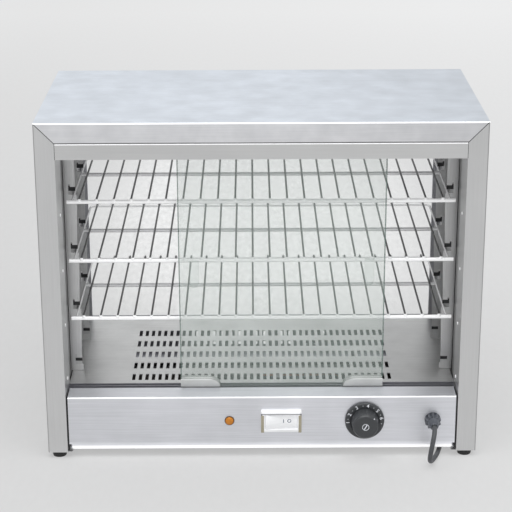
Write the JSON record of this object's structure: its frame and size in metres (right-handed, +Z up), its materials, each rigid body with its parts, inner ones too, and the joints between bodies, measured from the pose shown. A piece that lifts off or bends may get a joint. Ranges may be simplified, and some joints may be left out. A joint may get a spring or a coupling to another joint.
{
  "type": "hot food display case",
  "caption": "Countertop heated display case: brushed steel cabinet, sliding front glass doors, wire shelves, control panel with lamp, rocker switch and thermostat, mains cord.",
  "frame": {"origin": "centre of the case's footprint at the underside of its feet, knob included and free cord left out", "axes": "+X to the right seen from the customer's side, +Y from the sliding doors to the rear glass, +Z up"},
  "size_m": [0.635, 0.4907, 0.512],
  "materials": {
    "case_steel": "brushed",
    "liner_steel": "satin",
    "fixings": "polished",
    "shelf_wire": "bright plated",
    "clear_glass": "polished, ground edges",
    "door_shoe": "translucent moulded",
    "foot_rubber": "matte",
    "knob_black": "fine moulded grain",
    "switch_white": "moulded gloss",
    "lamp_amber": "transparent tinted",
    "lamp_black": "moulded gloss",
    "thermostat_grey": "moulded",
    "plated_steel": "zinc plated",
    "copper": "drawn copper",
    "element_sheath": "heat tinted",
    "terminal_plastic": "moulded",
    "wire_insulation": "extruded",
    "gland_grey": "moulded",
    "cord_grey": "satin",
    "tie_black": "moulded",
    "plug_black": "moulded",
    "pin_brass": "plated"
  },
  "bodies": {
    "case": {"top_panel": "case_steel", "left_side_panel": "case_steel", "right_side_panel": "case_steel", "front_header": "case_steel", "rear_header": "case_steel", "control_panel": "case_steel", "rear_base_panel": "case_steel", "base_pan": "case_steel", "floor_plate": "case_steel", "ceiling_liner": "case_steel", "lower_door_track": "case_steel", "upper_door_track": "case_steel", "rear_pane_sill": "case_steel", "rear_pane_head": "case_steel", "rear_pane_post_left": "case_steel", "rear_pane_post_right": "case_steel", "left_inner_wall": "liner_steel", "right_inner_wall": "liner_steel", "heat_shield": "liner_steel", "element_brackets": "liner_steel", "wall_rivets": "fixings", "foot_screws": "fixings", "bulb_clips": "fixings", "earth_stud": "fixings", "lower_shelf": "shelf_wire", "middle_shelf": "shelf_wire", "upper_shelf": "shelf_wire", "rear_glass": "clear_glass", "front_left_foot": "foot_rubber", "front_right_foot": "foot_rubber", "rear_left_foot": "foot_rubber", "rear_right_foot": "foot_rubber", "switch_frame": "switch_white", "pilot_lamp_lens": "lamp_amber", "pilot_lamp_bezel": "lamp_black", "pilot_lamp_body": "lamp_black", "thermostat_body": "thermostat_grey", "thermostat_bulb": "copper", "thermostat_capillary": "copper", "heating_element": "element_sheath", "terminal_block": "terminal_plastic", "wiring_cores": "wire_insulation", "cable_gland": "gland_grey", "gland_nut": "gland_grey", "power_cord": "cord_grey", "cord_coil": "cord_grey", "cord_tail": "cord_grey", "cord_tie": "tie_black", "plug_body": "plug_black", "plug_pins": "pin_brass"},
    "left_door": {"left_glass_door": "clear_glass", "left_door_shoes": "door_shoe"},
    "right_door": {"right_glass_door": "clear_glass", "right_door_shoes": "door_shoe"},
    "knob": {"thermostat_knob": "knob_black", "thermostat_shaft": "plated_steel"},
    "rocker": {"switch_rocker": "switch_white"}
  },
  "joints": [
    {"name": "left_door_slide", "type": "slide", "parent": "case", "child": "left_door", "axis": [1, 0, 0], "range_m": [-0.1675, 0.108]},
    {"name": "right_door_slide", "type": "slide", "parent": "case", "child": "right_door", "axis": [1, 0, 0], "range_m": [-0.1675, 0.108]},
    {"name": "knob_turn", "type": "hinge", "parent": "case", "child": "knob", "pos_m": [0.1515, -0.16, 0.0595], "axis": [0, 1, 0], "range_deg": [-135, 135]},
    {"name": "rocker_tip", "type": "hinge", "parent": "case", "child": "rocker", "pos_m": [0.0284, -0.1545, 0.0595], "axis": [0, 0, 1], "range_deg": [-12, 0]}
  ]
}
